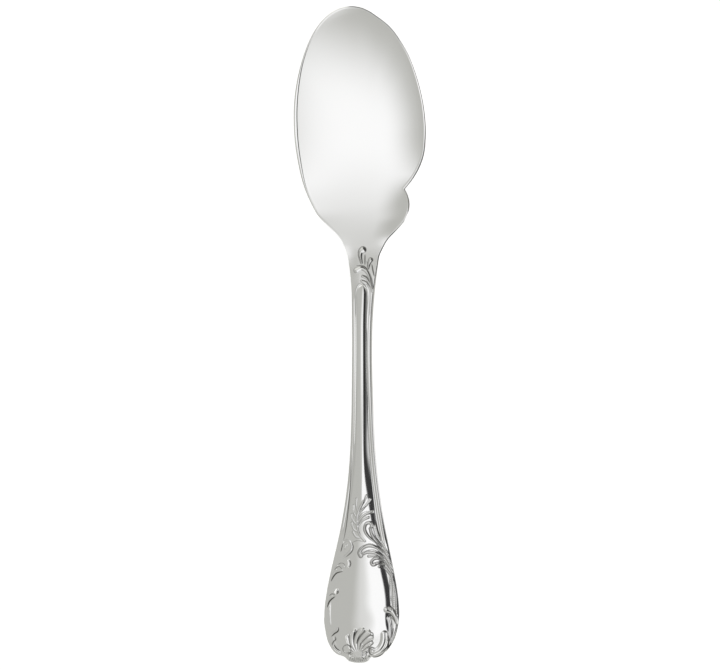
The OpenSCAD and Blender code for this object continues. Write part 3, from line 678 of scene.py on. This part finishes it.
# How far hand trimming left each edge to the right of the drawn oval: station, length along the rim, distance
left_trim = [(13, 10, 0.27), (44, 9, 0.4), (60.2, 2.4, -0.38), (66.6, 2.4, 0.42)]
right_trim = [(2.9, 2, -0.42), (7, 2.6, 0.12), (14, 4, 0.14), (61.3, 1.9, 0.36), (66.6, 2.1, -0.44)]


def bowl_edge(side, s):
    """Where the bowl's edge lies across the spoon without the notch: side is -1 for the left edge, 1 for the right."""
    lower = left_lower if side < 0 else right_lower
    turn_station = bowl_widest + shoulder * lower
    turn_oval = math.sqrt(1 - shoulder ** 2)
    t = (bowl_widest - s) / (bowl_widest - tip_station)
    upper = side * bowl_half * np.sqrt(np.maximum(0, 1 - t * t)) - tip_lean * np.maximum(0, t) ** tip_lean_curve
    lower_oval = side * bowl_half * np.sqrt(np.maximum(0, 1 - ((s - bowl_widest) / lower) ** 2))
    neck_run = -side * (neck_half - waist_half) * neck_taper / (waist_station - neck_station)
    fillet = bend(
        turn_station, side * bowl_half * turn_oval, -side * bowl_half * shoulder / (lower * turn_oval),
        neck_station, handle_axis(neck_station) + side * neck_half, neck_run, s,
    )
    trims = left_trim if side < 0 else right_trim
    stray = sum(away * np.exp(-((s - place) / run) ** 2) for place, run, away in trims)
    stray = ease(s, tip_station, tip_station + 1.0) * stray
    return np.where(s < bowl_widest, upper, np.where(s < turn_station, lower_oval, fillet)) + stray


def notch(s):
    long_flank = np.clip(1 - (notch_station - s) / notch_long, 0, 1) ** 2
    short_flank = np.clip(1 - (s - notch_station) / notch_short, 0, 1) ** 1.8
    return notch_depth * np.where(s < notch_station, long_flank, short_flank)


def bowl_edge_height(s):
    """The rim is level, dips a little towards the neck and then lifts into the handle."""
    level = rim_height - rim_dip * ease(s, bowl_widest, dip_station)
    lift = bend(dip_station, rim_height - rim_dip, 0, neck_station, neck_height, neck_slope_up, s)
    return np.where(s < dip_station, level, lift)


tip_rays, dish_columns, dish_back_columns = 161, 34, 14
bowl_rows = np.concatenate([
    [neck_station + seam_step],
    np.arange(neck_station, 66, -relief_step),
    np.arange(66, 60, -0.4),
    np.arange(60, 40, -0.25),
    np.arange(40, bowl_widest + 0.3, -0.6),
])
left = np.stack([bowl_edge(-1, bowl_rows), bowl_rows], axis=1)
whole_right = np.stack([bowl_edge(1, bowl_rows), bowl_rows], axis=1)
right = whole_right - np.stack([notch(bowl_rows), 0 * bowl_rows], axis=1)
middle = (left + whole_right) / 2
tip_fan = np.radians(np.linspace(180, 0, tip_rays))
tip_pole = np.array([(bowl_edge(-1, bowl_widest) + bowl_edge(1, bowl_widest)) / 2, bowl_widest])
tip_rows = mix(bowl_widest, tip_station, np.cos(np.linspace(0, math.pi / 2, 400)))
tip_line = np.concatenate([
    np.stack([bowl_edge(-1, tip_rows), tip_rows], axis=1)[::-1],
    np.stack([bowl_edge(1, tip_rows), tip_rows], axis=1),
])
tip_out, tip_up = tip_line[:, 0] - tip_pole[0], tip_pole[1] - tip_line[:, 1]
tip_turn = np.arctan2(tip_up, tip_out)
tip_reach = np.hypot(tip_out, tip_up)
fan_reach = np.interp(-tip_fan, -tip_turn, tip_reach)
fan_edge = tip_pole + np.stack([fan_reach * np.cos(tip_fan), -fan_reach * np.sin(tip_fan)], axis=1)

bowl_edge_line = np.concatenate([left, fan_edge, right[::-1]])
bowl_centre = np.concatenate([middle, np.repeat(tip_pole[None], len(fan_edge), axis=0), middle[::-1]])
whole = np.concatenate([left, fan_edge, whole_right[::-1]])
_, cut_length, cut_square = ray_frame(bowl_centre, bowl_edge_line)
_, whole_length, whole_square = ray_frame(bowl_centre, whole)
reach = (cut_length / whole_length)[:, None]
row_hollow = bend(
    bowl_widest, rim_height - bowl_depth, 0, neck_station, neck_height, neck_slope_up, bowl_rows
) - bowl_edge_height(bowl_rows)
hollow = np.concatenate([row_hollow, np.full(len(fan_edge), -bowl_depth), row_hollow[::-1]])[:, None]
on_right = (np.arange(len(hollow)) > len(hollow) / 2)[:, None]
ray_land = np.where(
    on_right[:, 0],
    np.interp(bowl_edge_line[:, 1], right_land[:, 0], right_land[:, 1]),
    np.interp(bowl_edge_line[:, 1], left_land[:, 0], left_land[:, 1]),
)
ray_bevel = np.where(
    on_right[:, 0],
    np.interp(bowl_edge_line[:, 1], right_land[:, 0], right_land[:, 2]),
    np.interp(bowl_edge_line[:, 1], left_land[:, 0], left_land[:, 2]),
)[:, None]
land_share = (1 - ray_land / (cut_length * cut_square))[:, None]
dish_share = (1 - ray_land / (whole_length * whole_square))[:, None]
ray_land = ray_land[:, None]


def dish(share, s):
    """Height of the hollow against its rim, and of the lobe below the notch, which turns up towards its edge."""
    level = np.minimum(share, land_share) * reach / dish_share
    lobe = lobe_lift * ease(s, 48, 58) * (1 - ease(s, 60, 69)) * np.clip((level - 0.3) / 0.7, 0, 1) ** 2
    return hollow * (1 - level ** dish_roundness) + lobe * on_right


front, from_edge, share = ray_points(bowl_centre, bowl_edge_line, rim_points, dish_columns)
x, s = front[..., 0], front[..., 1]
in_bowl = 1 - ease(s, 57, 69)
height, foot = relief(x, s, from_edge)
bevel_slope = mix(tip_bevel_slope, rim_bevel_slope, ease(s, 2, 7))
front_z = (
    bowl_edge_height(s)
    + dish(share, s)
    - rim_step * in_bowl * ease(from_edge, ray_land - 0.1, ray_land + 0.2)
    - bevel_slope * in_bowl * np.maximum(0, ray_bevel + edge_round - from_edge)
    + shoulder_round(s, from_edge, ~on_right)
    + height
    - rounding(from_edge)
)
plain_rim_points = np.concatenate([
    edge_round * (1 - np.cos(np.linspace(0, math.pi / 2, 4))),
    [0.4, 0.7, 1.1, 1.6, 2.2],
])
back, from_edge, share = ray_points(bowl_centre, bowl_edge_line, plain_rim_points, dish_back_columns)
sb = back[..., 1]
in_bowl = 1 - ease(sb, 57, 69)
edge_thick = mix(handle_edge_thickness, rim_thickness, in_bowl)
middle_thick = mix(bowl_wall, neck_wall, ease(sb, bowl_widest, neck_station))
back_z = (
    bowl_edge_height(sb) + dish(share, sb)
    - mix(middle_thick, edge_thick, share ** 2)
    + rounding(from_edge)
)
bowl = strike_piece("struck_bowl", on_table(front, front_z), on_table(back, back_z), foot, len(bowl_rows))
bowl.data.materials.append(silver_plate)
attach(bowl, "root")
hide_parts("bowl")

# Floor: matt white card under the spoon. It glows a little for the camera and for mirrors, so that it reads as white
# paper in studio light, and it keeps the spoon's shadow.
pulp_size, card_glow = 1.11, 0.53
floor_half, floor_drop = 5.0, 0.0002
card = bpy.data.materials.new("matt_white_card")
card.use_nodes = True
tree = card.node_tree
tree.nodes.clear()
where = add_node(tree, "ShaderNodeTexCoord", {}).outputs["Object"]
pulp = add_node(tree, "ShaderNodeTexNoise", {
    "Vector": where, "Scale": 1000 / pulp_size, "Detail": 3.0,
}).outputs["Fac"]
grain = add_node(tree, "ShaderNodeBump", {"Height": pulp, "Strength": 0.05, "Distance": 0.0001}).outputs["Normal"]
paper = add_node(tree, "ShaderNodeBsdfPrincipled", {
    "Base Color": srgb("#efefee"), "Roughness": 0.9, "Specular IOR Level": 0.2, "Normal": grain,
}).outputs["BSDF"]
path = add_node(tree, "ShaderNodeLightPath", {}).outputs
seen = add_node(tree, "ShaderNodeMath", {
    "operation": "MAXIMUM", 0: path["Is Camera Ray"], 1: path["Is Glossy Ray"],
}).outputs["Value"]
seen = add_node(tree, "ShaderNodeMath", {
    "operation": "MAXIMUM", 0: seen, 1: path["Is Transmission Ray"],
}).outputs["Value"]
glow = add_node(tree, "ShaderNodeMath", {"operation": "MULTIPLY", 0: seen, 1: card_glow}).outputs["Value"]
lit = add_node(tree, "ShaderNodeEmission", {"Color": srgb("#ffffff"), "Strength": glow}).outputs["Emission"]
both = add_node(tree, "ShaderNodeAddShader", {0: paper, 1: lit}).outputs["Shader"]
add_node(tree, "ShaderNodeOutputMaterial", {"Surface": both})
floor_mesh = bpy.data.meshes.new("floor")
floor_mesh.from_pydata([
    (-floor_half, -floor_half, 0), (floor_half, -floor_half, 0),
    (floor_half, floor_half, 0), (-floor_half, floor_half, 0),
], [], [(0, 1, 2, 3)])
floor_mesh.materials.append(card)
floor = bpy.data.objects.new("floor", floor_mesh)
floor.location.z = -floor_drop
bpy.context.scene.collection.objects.link(floor)

# Light: a photographer's tent of grey cloth, with two soft lamps overhead and a dark door on the right.
# It is drawn on the world by direction: "right" and "up" are how far a face has to tilt to those sides of the picture
# to mirror that place to a camera above. A row names a signal, what makes it, and the signals or numbers it uses.
cloth_glow, tent_end_glow, lamp_glow, door_darkness = 0.51, 0.36, 0.56, 0.96
world = bpy.data.worlds.new("light_tent")
bpy.context.scene.world = world
world.use_nodes = True
tree = world.node_tree
tree.nodes.clear()
place = add_node(tree, "ShaderNodeTexCoord", {}).outputs["Generated"]
towards = add_node(tree, "ShaderNodeSeparateXYZ", {0: place}).outputs
signals = {"to_x": towards["X"], "to_y": towards["Y"], "to_z": towards["Z"]}
for name, operation, *inputs in [
    ("above", "ADD", "to_z", 1.0),
    ("above", "MAXIMUM", "above", 0.05),
    ("right", "DIVIDE", "to_x", "above"),
    ("up", "DIVIDE", "to_y", "above"),
    ("rightward", "MAXIMUM", "right", 0.0),
    # Main lamp: bowed on its left side, slanted below, and fading to the right
    ("bow", "SUBTRACT", "up", 0.04),
    ("bow", "POWER", "bow", 2.0),
    ("bow", "MULTIPLY", "bow", 4.0),
    ("left_side", "SUBTRACT", "right", "bow"),
    ("left_side", "SMOOTHSTEP", "left_side", -0.44, -0.09),
    ("fade", "POWER", "rightward", 2.0),
    ("fade", "MULTIPLY", "fade", 1.8),
    ("fade", "SUBTRACT", 1.0, "fade"),
    ("low_side", "MULTIPLY", "rightward", 0.1),
    ("low_side", "ADD", "up", "low_side"),
    ("low_side", "SMOOTHSTEP", "low_side", -0.15, 0.05),
    ("high_side", "SMOOTHSTEP", "up", 0.07, 0.39),
    ("along", "SUBTRACT", "low_side", "high_side"),
    ("main_lamp", "MULTIPLY", "left_side", "fade"),
    ("main_lamp", "MULTIPLY", "main_lamp", "along"),
    # Low lamp: a band to the right, nearer the handle's end, with a slanted top
    ("high_side", "MULTIPLY", "right", 0.15),
    ("high_side", "SUBTRACT", "up", "high_side"),
    ("high_side", "SMOOTHSTEP", "high_side", -0.175, -0.12),
    ("along", "SMOOTHSTEP", "up", -0.5, -0.35),
    ("along", "SUBTRACT", "along", "high_side"),
    ("low_lamp", "SMOOTHSTEP", "right", -0.12, 0.15),
    ("low_lamp", "MULTIPLY", "low_lamp", "along"),
    ("lamps", "ADD", "main_lamp", "low_lamp"),
    ("lamps", "MAXIMUM", "lamps", 0.0),
    ("lamps", "MINIMUM", "lamps", 1.0),
    ("lamps", "MULTIPLY", "lamps", lamp_glow),
    # Door: dark from one lean to another, counted from a line up the tent's middle, where it faces right
    ("side", "SIGN", "up"),
    ("aside", "ABSOLUTE", "up"),
    ("aside", "SUBTRACT", "aside", 0.25),
    ("aside", "MAXIMUM", "aside", 0.0),
    ("aside", "MULTIPLY", "side", "aside"),
    ("aside_squared", "POWER", "aside", 2.0),
    ("lean", "POWER", "right", 2.0),
    ("lean", "ADD", "lean", "aside_squared"),
    ("lean", "SQRT", "lean"),
    ("safe_lean", "MAXIMUM", "lean", 0.001),
    ("facing", "MULTIPLY", "aside", 0.5),
    ("facing", "ADD", "right", "facing"),
    ("facing", "DIVIDE", "facing", "safe_lean"),
    ("facing", "SMOOTHSTEP", "facing", 0.3, 0.5),
    ("door", "SMOOTHSTEP", "lean", 0.43, 0.48),
    ("beyond", "SMOOTHSTEP", "lean", 0.6, 0.82),
    ("door", "SUBTRACT", "door", "beyond"),
    ("door", "MULTIPLY", "door", "facing"),
    ("door", "MULTIPLY", "door", door_darkness),
    ("past_door", "SUBTRACT", 1.0, "door"),
    # Cloth: brighter at the end of the tent beyond the bowl's tip
    ("cloth", "SMOOTHSTEP", "up", 0.35, 0.8),
    ("cloth", "MULTIPLY", "cloth", tent_end_glow),
    ("cloth", "ADD", cloth_glow, "cloth"),
    ("cloth", "MULTIPLY", "past_door", "cloth"),
    ("lamps", "MULTIPLY", "past_door", "lamps"),
]:
    inputs = [signals.get(source, source) for source in inputs]
    if operation == "SMOOTHSTEP":
        node = add_node(tree, "ShaderNodeMapRange", {
            "interpolation_type": operation, "Value": inputs[0], "From Min": inputs[1], "From Max": inputs[2],
        })
    else:
        node = add_node(tree, "ShaderNodeMath", {"operation": operation, **dict(enumerate(inputs))})
    signals[name] = node.outputs[0]
cloth = add_node(tree, "ShaderNodeBackground", {"Color": srgb("#fffffa"), "Strength": signals["cloth"]})
lamps = add_node(tree, "ShaderNodeBackground", {"Color": srgb("#f9f9ff"), "Strength": signals["lamps"]})
tent = add_node(tree, "ShaderNodeAddShader", {0: cloth.outputs["Background"], 1: lamps.outputs["Background"]})
add_node(tree, "ShaderNodeOutputWorld", {"Surface": tent.outputs["Shader"]})
bpy.context.scene.view_settings.view_transform = "Standard"

# Camera: straight above the spoon, with a long lens, so that both ends are seen alike.
# The picture is 720 by 670 and 206 mm wide at the height of the spoon.
lens_mm, sensor_mm, picture_width = 97.0, 36.0, 0.206
aim_x, aim_height = 0.0001, 0.003
camera = bpy.data.cameras.new("camera")
camera.lens, camera.sensor_width = lens_mm, sensor_mm
camera_object = bpy.data.objects.new("camera", camera)
camera_object.location = (aim_x, 0.0, aim_height + picture_width * lens_mm / sensor_mm)
bpy.context.scene.collection.objects.link(camera_object)
bpy.context.scene.camera = camera_object
